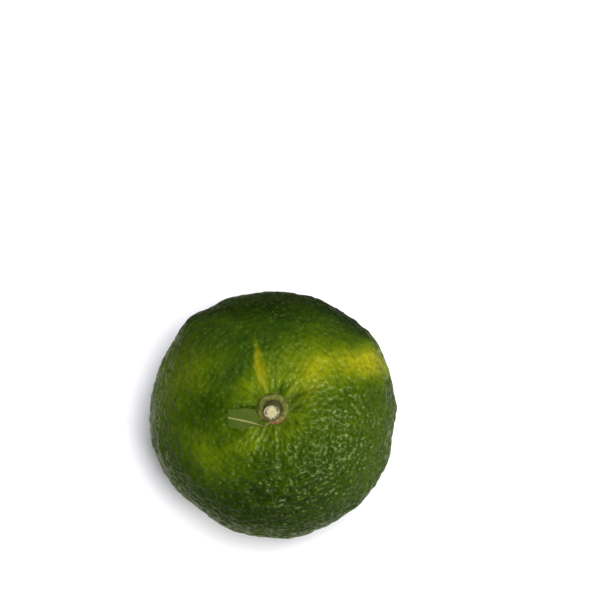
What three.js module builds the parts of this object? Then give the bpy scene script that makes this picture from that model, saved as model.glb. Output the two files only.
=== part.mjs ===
// A green yuzu as picked: the fruit, the calyx at its stem end, the cut stub of its stem, and the
// winged stalk of a leaf whose blade has dropped off. Millimetres, +Z up. The fruit stands on a
// small flat at its blossom end, and the origin is at the middle of its footprint.
import * as THREE from "three";

// Driving dimensions. Each angle is in degrees: azimuths run anticlockwise from +X seen from above,
// and a polar angle runs from 0 at the stem end to 180 at the blossom end.
const meanRadius = 33; // at the widest level
const stemHalf = 26; // from the widest level up to the shoulders
const blossomHalf = 28; // from the widest level down to the blossom end, before the flat is taken off
const flatCut = 0.7; // what the resting flat takes off the blossom end
const fullness = 0.9; // 1 makes the outline an ellipse, and less makes it squarer
const stemBasin = { depth: 1.5, width: 8 }; // the hollow round the calyx
const blossomScar = { depth: 1.1, radius: 3.2 }; // the dimple where the flower's style dropped off
const stemOffset = { x: -0.05, y: 2.6 }; // the stem end stands this far off the middle
const lumpReach = 35; // how far a lump spreads towards either end
const lumps = [
  { at: 36, rise: 0.8, spread: 9 },
  { at: 114, rise: 0.5, spread: 6 },
  { at: 132, rise: 1.4, spread: 8 },
  { at: 195, rise: 0.6, spread: 9 },
  { at: 232, rise: -0.8, spread: 14 },
  { at: 280, rise: 0.5, spread: 8 },
  { at: 314, rise: 0.5, spread: 5 },
  { at: 351, rise: -0.8, spread: 9 },
];
const gap = 0.3; // between neighbouring pieces

const calyx = { radius: 4.15, bore: 2.75, floor: 0.5, height: 1.3, rim: 0.3, lobes: 5, lobeRise: 0.12 };
const calyxOval = { x: 1.03, y: 0.95 }; // it is a little wider than it is deep
const stub = { radius: 2.3, foot: 2.1, height: 3.1, edge: 0.25, leanX: -0.1, leanY: -0.75 };
const leafStalk = {
  bladeThickness: 0.35,
  ribRise: 0.35, // how far the rib stands above the wings
  ribHalfWidth: 0.35,
  innerWing: 3.3, // the wing on the stem's side
  outerWing: 2.4,
  // Shares of the rib's length, from the stem outwards, between which each wing grows or narrows.
  innerGrows: [0.25, 0.5],
  innerNarrows: [0.55, 1],
  innerNarrowing: 0.35,
  outerGrows: [0.25, 0.95],
  climbReach: 1.6, // how far outside the calyx the stalk starts to climb
  // The rib's line seen from above, from the stem end's middle: over the calyx's rim and outwards.
  rib: [
    [-0.6, -3.35],
    [-1.1, -4.0],
    [-2.2, -4.45],
    [-3.7, -4.1],
    [-7.6, -3.05],
    [-11.5, -2.05],
  ],
};

const { clamp, degToRad: radians, radToDeg: degrees, lerp, smoothstep } = THREE.MathUtils;
const bell = (x) => Math.exp(-x * x);
const signedPower = (x, power) => Math.sign(x) * Math.abs(x) ** power;

// The shortest way round from one azimuth to another, in degrees.
function turnBetween(from, to) {
  return THREE.MathUtils.euclideanModulo(to - from + 180, 360) - 180;
}

// How far the lumps and flats of the skin stand out at an azimuth and a polar angle.
function lumpRise(azimuth, polar) {
  const level = bell((polar - 90) / lumpReach);
  const rise = (lump) => lump.rise * bell(turnBetween(lump.at, azimuth) / lump.spread);
  return lumps.reduce((sum, lump) => sum + rise(lump) * level, 0);
}

// A point of the skin. The outline is a squared ellipse with a basin at the stem end, and with a
// resting flat and a dimple at the blossom end.
function skinPoint(azimuth, polar) {
  const across = signedPower(Math.max(Math.sin(radians(polar)), 0), fullness);
  const along = signedPower(Math.cos(radians(polar)), fullness);
  const radius = meanRadius * across;
  const bumpy = radius + lumpRise(azimuth, polar) * across;
  const upper = Math.max(along, 0);
  let height = blossomHalf - flatCut + (along > 0 ? stemHalf : blossomHalf) * along;
  if (along > 0) {
    height -= stemBasin.depth * bell(radius / stemBasin.width);
  } else {
    const scar = Math.max(1 - (radius / blossomScar.radius) ** 2, 0);
    height = Math.max(height, 0) + blossomScar.depth * scar * scar;
  }
  return new THREE.Vector3(
    bumpy * Math.cos(radians(azimuth)) + stemOffset.x * upper * upper,
    bumpy * Math.sin(radians(azimuth)) + stemOffset.y * upper * upper,
    height,
  );
}

// The skin under a place seen from above, measured from the middle of the stem end, raised along the
// skin's own normal.
function aboveSkin(x, y, raise) {
  const azimuth = degrees(Math.atan2(y, x));
  const polar = degrees(Math.asin((Math.hypot(x, y) / meanRadius) ** (1 / fullness)));
  const step = 0.5; // degrees, for the skin's two tangents
  const here = skinPoint(azimuth, polar);
  const east = skinPoint(azimuth + step, polar).sub(here);
  const south = skinPoint(azimuth, polar + step).sub(here);
  return here.addScaledVector(south.cross(east).normalize(), raise);
}

// Moves each vertex of a geometry to the place that a function gives for it.
function reshape(geometry, place) {
  const position = geometry.getAttribute("position");
  const vertex = new THREE.Vector3();
  for (let i = 0; i < position.count; i += 1) {
    vertex.fromBufferAttribute(position, i);
    const moved = place(vertex);
    position.setXYZ(i, moved.x, moved.y, moved.z);
  }
  geometry.deleteAttribute("normal");
  geometry.deleteAttribute("uv");
  return geometry;
}

// A lathe about +Z from [radius, height] pairs that start and end on the axis, top first.
function turned(profile, segments) {
  const points = profile.map(([radius, height]) => new THREE.Vector2(radius, height)).reverse();
  return new THREE.LatheGeometry(points, segments).rotateX(Math.PI / 2);
}

// Part of a circle from one direction to another, as [radius, height] pairs.
function arc(centre, radius, fromDegrees, toDegrees, steps) {
  return Array.from({ length: steps + 1 }, (_, i) => {
    const angle = radians(lerp(fromDegrees, toDegrees, i / steps));
    return [centre[0] + radius * Math.cos(angle), centre[1] + radius * Math.sin(angle)];
  });
}

function fruitGeometry() {
  const ball = new THREE.SphereGeometry(1, 80, 40).rotateX(Math.PI / 2);
  return reshape(ball, (v) => {
    const azimuth = degrees(Math.atan2(v.y, v.x));
    const polar = degrees(Math.acos(clamp(v.z, -1, 1)));
    return skinPoint(azimuth, polar);
  });
}

// The height of the stem basin's skin at a distance from the stem end's middle.
function basinHeight(radius) {
  return aboveSkin(radius, 0, 0).z;
}

// The calyx: a shallow cup with a thick rounded rim, five low lobes, and an underside that follows
// the basin.
function calyxGeometry() {
  const base = basinHeight(0) + gap;
  const top = basinHeight(calyx.radius) + calyx.height;
  const wallMiddle = (calyx.radius + calyx.bore) / 2;
  const round = (calyx.radius - calyx.bore) / 2;
  const under = (radius) => basinHeight(radius) + gap;
  const profile = [
    [0, base + calyx.floor],
    [calyx.bore - calyx.rim, base + calyx.floor],
    [calyx.bore, base + calyx.floor + calyx.rim],
    ...arc([wallMiddle, top - round], round, 180, 0, 8),
    [calyx.radius, under(calyx.radius) + calyx.rim],
    [calyx.radius - calyx.rim, under(calyx.radius - calyx.rim)],
    [calyx.radius / 2, under(calyx.radius / 2)],
    [0, base],
  ];
  return reshape(turned(profile, 40), (v) => {
    const lobes = Math.cos(calyx.lobes * Math.atan2(v.y, v.x));
    const share = smoothstep(Math.hypot(v.x, v.y), calyx.bore, calyx.radius);
    const swell = 1 + (calyx.lobeRise * lobes * share) / calyx.radius;
    return new THREE.Vector3(
      v.x * swell * calyxOval.x + stemOffset.x,
      v.y * swell * calyxOval.y + stemOffset.y,
      v.z,
    );
  });
}

// The cut stub of the stem, standing in the calyx and leaning a little to one side.
function stubGeometry() {
  const foot = basinHeight(0) + gap + calyx.floor + gap;
  const profile = [
    [0, stub.height],
    [stub.radius - stub.edge, stub.height],
    [stub.radius, stub.height - stub.edge],
    [stub.radius, stub.height / 2],
    [stub.foot, 0],
    [0, 0],
  ];
  return reshape(turned(profile, 28), (v) => {
    const lean = v.z / stub.height;
    return new THREE.Vector3(
      v.x + stemOffset.x + stub.leanX * lean,
      v.y + stemOffset.y + stub.leanY * lean,
      v.z + foot,
    );
  });
}

// How wide each wing of the leaf stalk is along its rib, as a share of its full width: nothing over
// the calyx, then out to the full width. The stem's side widens first and narrows again outwards.
function wingShares(along) {
  const narrowing = 1 - leafStalk.innerNarrowing * smoothstep(along, ...leafStalk.innerNarrows);
  const inner = smoothstep(along, ...leafStalk.innerGrows) * narrowing;
  return { inner, outer: smoothstep(along, ...leafStalk.outerGrows) };
}

// How far a point lies to the side of the rib, from its place across the plate (-1 to 1): the middle
// third is the rib's own width, and the rest is the wing.
function sideways(place, wing) {
  const ribShare = 1 / 3;
  const share = Math.abs(place);
  const onRib = Math.min(share / ribShare, 1);
  const onWing = Math.max(share - ribShare, 0) / (1 - ribShare);
  return Math.sign(place) * (leafStalk.ribHalfWidth * onRib + wing * onWing);
}

// The leaf stalk: one thin plate with a raised rib, lying just off the skin and climbing over the
// calyx's rim to the stem.
function leafStalkGeometry() {
  const line = new THREE.CatmullRomCurve3(leafStalk.rib.map(([x, y]) => new THREE.Vector3(x, y, 0)));
  const rimTop = basinHeight(calyx.radius) + calyx.height;
  const plate = new THREE.BoxGeometry(2, 2, 1, 30, 12, 1);
  return reshape(plate, (v) => {
    const along = (v.x + 1) / 2;
    const point = line.getPointAt(along);
    const heading = line.getTangentAt(along);
    const shares = wingShares(along);
    const wing = v.y < 0 ? leafStalk.innerWing * shares.inner : leafStalk.outerWing * shares.outer;
    const side = sideways(v.y, wing);
    const rib = leafStalk.ribRise * bell(side / leafStalk.ribHalfWidth);
    const raise = gap + (v.z > 0 ? leafStalk.bladeThickness + rib : 0);
    // Square to the rib at the stem, and square to +X at the outer end, where the blade broke off.
    const across = new THREE.Vector2(-heading.y, heading.x).lerp(new THREE.Vector2(0, -1), along).normalize();
    const place = aboveSkin(point.x + across.x * side, point.y + across.y * side, raise);
    const distance = Math.hypot(point.x, point.y);
    const climb = 1 - smoothstep(distance, calyx.radius + gap, calyx.radius + leafStalk.climbReach);
    const overRim = rimTop + raise;
    place.z = lerp(place.z, Math.max(place.z, overRim), climb);
    return place;
  });
}

function piece(name, geometry, colour, roughness) {
  const material = new THREE.MeshStandardMaterial({ color: colour, roughness, metalness: 0 });
  const mesh = new THREE.Mesh(geometry, material);
  mesh.name = name;
  return mesh;
}

const fruit = piece("fruit", fruitGeometry(), 0x3f5f12, 0.4);
const yuzu = new THREE.Group();
yuzu.add(
  fruit,
  piece("calyx", calyxGeometry(), 0x70702e, 0.6),
  piece("stem_stub", stubGeometry(), 0xbab482, 0.8),
  piece("leaf_stalk", leafStalkGeometry(), 0x4c5f1f, 0.6),
);

// The lumps are uneven, so the middle of the footprint is set at the origin.
const middle = new THREE.Box3().setFromObject(fruit).getCenter(new THREE.Vector3());
yuzu.position.set(-middle.x, -middle.y, 0);

export default yuzu;
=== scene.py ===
"""A green yuzu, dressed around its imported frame.

Its pieces are the pitted skin with its ripening patches, the calyx at the stem end, the cut stub of
the stem, and the winged stalk of a leaf whose blade has dropped off. They stand on a pale floor in
soft studio light. Lengths are in metres, +Z is up and the stem end is on top.
"""

from __future__ import annotations

import itertools
import logging
import math
from collections.abc import Mapping, Sequence
from dataclasses import dataclass
from enum import Enum, IntEnum
from typing import Any

import bpy
import numpy as np
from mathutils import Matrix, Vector

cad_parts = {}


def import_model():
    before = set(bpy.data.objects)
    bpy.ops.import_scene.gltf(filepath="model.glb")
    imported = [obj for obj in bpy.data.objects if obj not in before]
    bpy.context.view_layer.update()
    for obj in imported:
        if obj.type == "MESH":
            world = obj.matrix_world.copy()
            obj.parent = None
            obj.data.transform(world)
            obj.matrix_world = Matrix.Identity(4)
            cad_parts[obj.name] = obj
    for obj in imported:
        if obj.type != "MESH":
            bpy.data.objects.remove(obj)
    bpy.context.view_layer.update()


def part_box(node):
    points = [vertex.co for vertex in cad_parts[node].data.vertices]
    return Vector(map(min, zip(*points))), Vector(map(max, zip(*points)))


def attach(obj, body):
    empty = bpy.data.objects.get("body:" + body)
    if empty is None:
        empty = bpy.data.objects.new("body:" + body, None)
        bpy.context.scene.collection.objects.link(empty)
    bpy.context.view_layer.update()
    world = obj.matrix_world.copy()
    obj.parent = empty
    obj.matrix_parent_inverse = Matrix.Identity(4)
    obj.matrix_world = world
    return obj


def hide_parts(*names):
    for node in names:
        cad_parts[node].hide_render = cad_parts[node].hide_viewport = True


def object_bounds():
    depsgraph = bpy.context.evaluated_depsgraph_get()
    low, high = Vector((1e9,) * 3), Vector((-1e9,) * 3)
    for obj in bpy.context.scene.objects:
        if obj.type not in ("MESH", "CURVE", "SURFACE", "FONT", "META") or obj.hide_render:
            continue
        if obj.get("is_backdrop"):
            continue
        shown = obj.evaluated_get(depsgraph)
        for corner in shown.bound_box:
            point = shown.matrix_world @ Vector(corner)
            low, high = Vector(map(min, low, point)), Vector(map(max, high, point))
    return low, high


MM = 0.001
TURN = 2.0 * math.pi
BODY = "root"
LOG = logging.getLogger("yuzu")

Array = np.ndarray
Colour = tuple[float, float, float]
Place = tuple[float, float]


class Pattern(IntEnum):
    """The independent random patterns, each with its own seed."""

    SWELL = 11
    PEBBLE = 23
    RADIAL = 37
    WRINKLE = 41
    WARP = 53
    MOTTLE = 67
    GLAND_ALONG = 71
    GLAND_ROUND = 73
    GLAND_SIZE = 79
    GLAND_DEPTH = 83
    CALYX = 97
    STUB = 103
    LEAF = 109


class MixMode(Enum):
    """How a second colour joins a first one."""

    BLEND = "MIX"
    MULTIPLY = "MULTIPLY"
    LIGHTEN = "SCREEN"


# Numbers over whole arrays


def bell(x: Array) -> Array:
    """A bell curve: 1 at 0, falling as exp(-x squared)."""
    return np.exp(-np.square(x))


def ease(x: Array, low: float, high: float) -> Array:
    """A smooth step from 0 at low to 1 at high: 3 t squared less 2 t cubed."""
    t = np.clip((x - low) / (high - low), 0.0, 1.0)
    return t * t * (3.0 - 2.0 * t)


def signed_power(x: Array, power: float) -> Array:
    """The size of x raised to a power, with the sign of x."""
    return np.sign(x) * np.abs(x) ** power


def turn_between(start: float, end: Array) -> Array:
    """The shortest way round from one azimuth to others, in degrees."""
    return np.mod(end - start + 180.0, 360.0) - 180.0


def turns_round(columns: int) -> Array:
    """Evenly spaced azimuths once round, in radians."""
    return np.arange(columns) * TURN / columns


def hashed(cells: Array, seed: int) -> Array:
    """A random share for each whole-numbered cell.

    The coordinates are multiplied by large odd numbers and folded together, and shifts and further
    multiplications then mix the bits.

    Args:
        cells: Whole numbers, with a cell's coordinates on the last axis.
        seed: Which of the independent patterns to give.

    Returns:
        One share from 0 to 1 for each cell.
    """
    mixed = np.full(cells.shape[:-1], seed * 2654435761 % 2**32, dtype=np.uint32)
    factors = (2246822519, 3266489917, 668265263)
    for axis in range(cells.shape[-1]):
        coordinate = (cells[..., axis].astype(np.int64) & 0xFFFFFFFF).astype(np.uint32)
        mixed = (mixed ^ coordinate) * np.uint32(factors[axis])
        mixed ^= mixed >> np.uint32(15)
        mixed *= np.uint32(739188461)
        mixed ^= mixed >> np.uint32(13)
    return mixed / 2.0**32


def noise(points: Array, wave: float | Sequence[float], seed: int) -> Array:
    """Gradient noise: each corner of a lattice holds a random slope, blended across the cell.

    Args:
        points: Places, with x, y and z on the last axis.
        wave: The lattice's pitch, the same on all axes or one for each.
        seed: Which of the independent patterns to give.

    Returns:
        A value for each place, mostly from -1 to 1.
    """
    gain = 1.7
    scaled = points / np.asarray(wave)
    cell = np.floor(scaled).astype(np.int64)
    part = scaled - cell
    blend = part**3 * (part * (part * 6.0 - 15.0) + 10.0)
    total = np.zeros(points.shape[:-1])
    for corner in itertools.product((0, 1), repeat=3):
        weight = np.prod(np.where(corner, blend, 1.0 - blend), axis=-1)
        slopes = [hashed(cell + corner, seed * 4 + axis) * 2.0 - 1.0 for axis in range(3)]
        total += weight * np.sum(np.stack(slopes, axis=-1) * (part - corner), axis=-1)
    return total * gain


def layered(points: Array, layers: Sequence[Place], seed: int) -> Array:
    """The sum of several noises, given as pairs of a height and a wavelength."""
    return sum(height * noise(points, wave, seed) for height, wave in layers)


def spline(knots: Sequence[Place], shares: Array) -> tuple[Array, Array]:
    """Places and headings along a smooth line through knots in a plane.

    Between two knots it is the Catmull-Rom cubic, whose slope at a knot is half the step from the
    knot before to the knot after. It is then measured out again by its length.

    Args:
        knots: The places that the line goes through.
        shares: Shares of its length, from 0 to 1.

    Returns:
        The places, and the unit vectors along the line there, each with x and y on the last axis.
    """
    points = np.array(knots)
    padded = np.vstack([2 * points[0] - points[1], points, 2 * points[-1] - points[-2]])
    steps = np.linspace(0.0, len(points) - 1.0, 60 * len(points))
    first = np.minimum(steps.astype(int), len(points) - 2)
    t = (steps - first)[:, None]
    a, b, c, d = (padded[first + offset] for offset in range(4))
    cubic = (3 * b - a - 3 * c + d) * t**3 + (2 * a - 5 * b + 4 * c - d) * t**2 + (c - a) * t + 2 * b
    line = cubic / 2.0
    length = np.concatenate([[0.0], np.cumsum(np.linalg.norm(np.diff(line, axis=0), axis=1))])
    slope = np.gradient(line, length, axis=0)
    here = shares * length[-1]
    places = np.stack([np.interp(here, length, line[:, axis]) for axis in range(2)], axis=-1)
    heading = np.stack([np.interp(here, length, slope[:, axis]) for axis in range(2)], axis=-1)
    return places, heading / np.linalg.norm(heading, axis=-1, keepdims=True)


# Meshes


def put_in_scene(name: str, data: bpy.types.ID) -> bpy.types.Object:
    """Makes an object of some data and links it to the scene.

    Args:
        name: The object's name.
        data: Its mesh, light or camera.

    Returns:
        The new object, at the origin.
    """
    item = bpy.data.objects.new(name, data)
    bpy.context.scene.collection.objects.link(item)
    return item


def closed_surface(name: str, rings: Array, first: Array, last: Array,
                   values: Mapping[str, Array] | None = None) -> bpy.types.Object:
    """One closed mesh from rings of points, with a fan to one point at each end.

    Args:
        name: The object's name.
        rings: The points, as rings, points round a ring, and x, y and z. Where the rings go down, their
            points go anticlockwise seen from above, so that the faces point outwards.
        first: The point that closes the first ring.
        last: The point that closes the last ring.
        values: Numbers to keep on the points, by name, one for each point of the rings.

    Returns:
        The new object, at the origin, with its place in its mesh.
    """
    rows, columns = rings.shape[:2]
    grid = 1 + np.arange(rows * columns).reshape(rows, columns)
    beside = np.roll(grid, -1, axis=1)
    quads = np.stack([grid[:-1], grid[1:], beside[1:], beside[:-1]], axis=-1).reshape(-1, 4)
    top = np.stack([np.zeros(columns, dtype=int), grid[0], beside[0]], axis=-1)
    end = np.full(columns, rows * columns + 1)
    bottom = np.stack([grid[-1], end, beside[-1]], axis=-1)
    points = np.vstack([first, rings.reshape(-1, 3), last])
    mesh = bpy.data.meshes.new(name)
    mesh.from_pydata(points.tolist(), [], quads.tolist() + top.tolist() + bottom.tolist())
    mesh.shade_smooth()
    for key, numbers in (values or {}).items():
        spread = np.concatenate([[numbers[0].mean()], numbers.ravel(), [numbers[-1].mean()]])
        mesh.attributes.new(key, "FLOAT", "POINT").data.foreach_set("value", spread.astype(np.float32))
    return put_in_scene(name, mesh)


def stand_in_for(piece: bpy.types.Object, node: str, material: bpy.types.Material) -> None:
    """Dresses a piece, sets it on the body, hides the node that it stands for and logs its faces.

    Args:
        piece: The finished piece.
        node: The node that it replaces.
        material: Its finish.
    """
    piece.data.materials.append(material)
    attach(piece, BODY)
    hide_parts(node)
    LOG.info("%s: %d faces", piece.name, len(piece.data.polygons))


# Shader graphs


class Wire:
    """A number's socket that takes part in arithmetic. Each operator adds one Math node."""

    def __init__(self, graph: Graph, socket: bpy.types.NodeSocket) -> None:
        """Keeps the socket and the graph that it belongs to."""
        self.graph = graph
        self.socket = socket

    def _join(self, operation: str, first: Wire | float, second: Wire | float) -> Wire:
        """Adds the Math node for one operation on two values."""
        return self.graph.add("ShaderNodeMath", {"operation": operation}, {0: first, 1: second})

    def __add__(self, other: Wire | float) -> Wire:
        """The sum."""
        return self._join("ADD", self, other)

    def __radd__(self, other: float) -> Wire:
        """The sum, with a plain number first."""
        return self._join("ADD", other, self)

    def __sub__(self, other: Wire | float) -> Wire:
        """The difference."""
        return self._join("SUBTRACT", self, other)

    def __rsub__(self, other: float) -> Wire:
        """The difference from a plain number."""
        return self._join("SUBTRACT", other, self)

    def __mul__(self, other: Wire | float) -> Wire:
        """The product."""
        return self._join("MULTIPLY", self, other)

    def __rmul__(self, other: float) -> Wire:
        """The product, with a plain number first."""
        return self._join("MULTIPLY", other, self)

    def between(self, low: float, high: float) -> Wire:
        """A smooth step from 0 at low to 1 at high."""
        sockets = {"Value": self, "From Min": low, "From Max": high}
        return self.graph.add("ShaderNodeMapRange", {"interpolation_type": "SMOOTHSTEP"}, sockets)


class Graph:
    """The shader graph of one material or world."""

    def __init__(self, owner: bpy.types.Material | bpy.types.World) -> None:
        """Takes the owner's node tree and empties it."""
        owner.use_nodes = True
        self.tree = owner.node_tree
        self.tree.nodes.clear()

    def add(self, kind: str, settings: Mapping[str, Any] | None = None,
            sockets: Mapping[str | int, Any] | None = None, output: str | int = 0) -> Wire:
        """Adds one node.

        Args:
            kind: The node's type.
            settings: Its settings, set first. A ramp's "stops" are pairs of a place and a colour.
            sockets: The values or wires of its input sockets.
            output: Which of its outputs to give.

        Returns:
            That output.
        """
        node = self.tree.nodes.new(kind)
        for key, value in (settings or {}).items():
            if key == "stops":
                self._set_stops(node.color_ramp, value)
            else:
                setattr(node, key, value)
        for key, value in (sockets or {}).items():
            if isinstance(value, Wire):
                self.tree.links.new(value.socket, node.inputs[key])
            elif isinstance(value, tuple) and node.inputs[key].type == "RGBA":
                node.inputs[key].default_value = (*value, 1.0)
            else:
                node.inputs[key].default_value = value
        return Wire(self, node.outputs[output])

    @staticmethod
    def _set_stops(ramp: bpy.types.ColorRamp, stops: Sequence[tuple[float, Colour]]) -> None:
        """Gives a ramp its stops.

        Args:
            ramp: The ramp.
            stops: Pairs of a place and a colour, from the lowest place up.
        """
        while len(ramp.elements) < len(stops):
            ramp.elements.new(1.0)
        for element, (place, colour) in zip(ramp.elements, stops):
            element.position = place
            element.color = (*colour, 1.0)

    def value(self, name: str) -> Wire:
        """The numbers kept on the mesh's points under a name."""
        return self.add("ShaderNodeAttribute", {"attribute_name": name}, output="Fac")

    def grain(self, wave: float, detail: float = 2.0, roughness: float = 0.5) -> Wire:
        """Noise in the piece's own space.

        Args:
            wave: Its largest waves, in metres.
            detail: How many times finer waves are added.
            roughness: How strong each finer set of waves is, as a share of the one before.

        Returns:
            Values about 0.5, mostly from 0.2 to 0.8.
        """
        place = self.add("ShaderNodeTexCoord", output="Object")
        sockets = {"Vector": place, "Scale": 1.0 / wave, "Detail": detail, "Roughness": roughness}
        return self.add("ShaderNodeTexNoise", None, sockets)

    def dots(self, pitch: float) -> Wire:
        """How far each place is from the nearest of many scattered points, as a share of their pitch."""
        place = self.add("ShaderNodeTexCoord", output="Object")
        return self.add("ShaderNodeTexVoronoi", None, {"Vector": place, "Scale": 1.0 / pitch})

    def mix(self, mode: MixMode, factor: Wire | float, first: Wire | Colour, second: Wire | Colour) -> Wire:
        """Joins two colours.

        Args:
            mode: How the second colour joins the first.
            factor: How much of it joins, from 0 to 1.
            first: The first colour.
            second: The second colour.

        Returns:
            The joined colour.
        """
        settings = {"data_type": "RGBA", "blend_type": mode.value}
        return self.add("ShaderNodeMix", settings, {0: factor, 6: first, 7: second}, output=2)

    def bump(self, height: Wire, depth: float) -> Wire:
        """A normal that tilts as a surface with a given height would.

        Args:
            height: The height, from 0 to 1.
            depth: What a height of 1 stands for, in metres.

        Returns:
            The normal.
        """
        return self.add("ShaderNodeBump", None, {"Height": height, "Distance": depth})

    def close(self, surface: Wire, kind: str = "ShaderNodeOutputMaterial") -> None:
        """Connects the finished shader to the output."""
        self.tree.links.new(surface.socket, self.tree.nodes.new(kind).inputs["Surface"])


class Finish:
    """What the finishes share. Each one has its own name, strength of mirroring and varying sockets."""

    name: str
    mirroring: float

    def sockets(self, graph: Graph) -> dict[str, Any]:
        """Works out the shader's sockets, mostly from the numbers kept on the piece's points and from noise.

        Args:
            graph: The material's graph.

        Returns:
            The values or wires of the sockets, by name.
        """
        raise NotImplementedError

    def material(self) -> bpy.types.Material:
        """Gives the material, which has one Principled shader."""
        material = bpy.data.materials.new(self.name)
        graph = Graph(material)
        sockets = {"Specular IOR Level": self.mirroring} | self.sockets(graph)
        graph.close(graph.add("ShaderNodeBsdfPrincipled", None, sockets))
        return material


@dataclass(frozen=True)
class Rind(Finish):
    """The waxy, pitted rind: deep green, turning yellow in patches, with a brown scar below."""

    name: str = "rind"
    mirroring: float = 0.45
    deep_green: Colour = (0.0090, 0.0205, 0.0005)
    green: Colour = (0.0210, 0.0470, 0.0009)
    yellow_green: Colour = (0.0500, 0.0860, 0.0014)
    olive_yellow: Colour = (0.0930, 0.1320, 0.0018)
    pale_yellow: Colour = (0.2050, 0.2200, 0.0028)
    yellow: Colour = (0.3100, 0.2900, 0.0045)
    blue_green: Colour = (0.0155, 0.0430, 0.0050)
    warm_yellow: Colour = (0.2600, 0.1900, 0.0040)
    scar_brown: Colour = (0.120, 0.070, 0.025)
    painted_crease_shade: Colour = (0.016, 0.034, 0.001)
    # Darkening for the pits: partly the glands' own darker tint, partly painted shade in the hollows.
    pit_tint_and_painted_shade: Colour = (0.50, 0.58, 0.30)
    # The colour of painted glints, lightened into the rind in scattered dots.
    painted_glint: Colour = (0.75, 0.9, 0.25)
    sheen: Colour = (0.86, 1.0, 0.50)
    mottle_wave: float = 2.4 * MM
    mottle_share: float = 0.22
    painted_glint_pitch: float = 1.3 * MM
    fine_wave: float = 0.8 * MM
    bump_depth: float = 0.20 * MM
    ridge_roughness: float = 0.16
    pit_roughness: float = 0.30

    def sockets(self, graph: Graph) -> dict[str, Any]:
        """Works out the sockets. The colour follows how ripe the rind is, with painted shade and painted
        highlights mixed in, and darkens in the pits and furrows, there partly as painted shade.

        Args:
            graph: The material's graph.

        Returns:
            The colour, the roughness, the normal, the tint of its shine and how strongly it refracts.
        """
        pit = graph.value("pit")
        mottle = graph.grain(self.mottle_wave, 3.0, 0.6) - 0.5
        # These values carry the ripeness, and also painted shade along the +Y edge and painted highlights on
        # the crests.
        ripe = graph.value("ripeness_and_painted_light") + mottle * self.mottle_share
        stops = [
            (0.0, self.deep_green),
            (0.20, self.green),
            (0.42, self.yellow_green),
            (0.62, self.olive_yellow),
            (0.88, self.pale_yellow),
            (1.0, self.yellow),
        ]
        colour = graph.add("ShaderNodeValToRGB", {"stops": stops}, {"Fac": ripe})
        colour = graph.mix(MixMode.BLEND, graph.value("blue") * 0.8, colour, self.blue_green)
        colour = graph.mix(MixMode.BLEND, graph.value("warm"), colour, self.warm_yellow)
        # The pits darken: partly the glands' own tint, partly painted shade in the hollows.
        colour = graph.mix(MixMode.MULTIPLY, pit * 0.80, colour, self.pit_tint_and_painted_shade)
        # Painted shade in the furrows that run out from the calyx.
        colour = graph.mix(MixMode.BLEND, graph.value("crease") * 0.8, colour, self.painted_crease_shade)
        # Painted glints: light dots lightened into the colour.
        dot = 1.0 - graph.dots(self.painted_glint_pitch).between(0.15, 0.45)
        some = graph.grain(5.0 * MM).between(0.3, 0.6)
        colour = graph.mix(MixMode.LIGHTEN, dot * some * 0.03, colour, self.painted_glint)
        colour = graph.mix(MixMode.BLEND, graph.value("scar"), colour, self.scar_brown)
        fine = graph.grain(self.fine_wave, 2.0, 0.45) - pit * 0.8
        uneven = (graph.grain(1.2 * MM) - 0.5) * 0.12
        roughness = self.ridge_roughness + pit * self.pit_roughness + uneven
        normal = graph.bump(fine, self.bump_depth)
        varying = {"Base Color": colour, "Roughness": roughness, "Normal": normal}
        return varying | {"Specular Tint": self.sheen, "IOR": 1.45}


@dataclass(frozen=True)
class CalyxSkin(Finish):
    """The calyx: dull olive green, with painted shade inside its cup, and corky red-brown at one side."""

    name: str = "calyx"
    mirroring: float = 0.35
    olive: Colour = (0.135, 0.150, 0.028)
    shade: Colour = (0.070, 0.070, 0.018)
    # Painted shade inside the cup, round the stub.
    painted_hollow_shade: Colour = (0.045, 0.045, 0.015)
    cork: Colour = (0.160, 0.062, 0.022)
    salmon: Colour = (0.330, 0.160, 0.085)
    mottle_wave: float = 1.0 * MM
    cork_wave: float = 0.8 * MM
    crumb_wave: float = 0.5 * MM
    bump_depth: float = 0.15 * MM

    def sockets(self, graph: Graph) -> dict[str, Any]:
        """Works out the sockets.

        Args:
            graph: The material's graph.

        Returns:
            The colour, the roughness and the normal.
        """
        mottle = graph.grain(self.mottle_wave, 4.0, 0.6)
        colour = graph.mix(MixMode.BLEND, mottle.between(0.35, 0.65), self.shade, self.olive)
        # Painted shade inside the cup.
        colour = graph.mix(MixMode.BLEND, graph.value("painted_hollow_shade"), colour, self.painted_hollow_shade)
        cork = graph.value("cork") * (graph.grain(self.cork_wave, 3.0) * 1.2).between(0.4, 0.6)
        crumb = graph.grain(self.crumb_wave).between(0.52, 0.62)
        crumbs = graph.mix(MixMode.BLEND, crumb, self.cork, self.salmon)
        colour = graph.mix(MixMode.BLEND, cork, colour, crumbs)
        roughness = 0.55 + (mottle - 0.5) * 0.3
        normal = graph.bump(mottle, self.bump_depth)
        return {"Base Color": colour, "Roughness": roughness, "Normal": normal}


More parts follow.
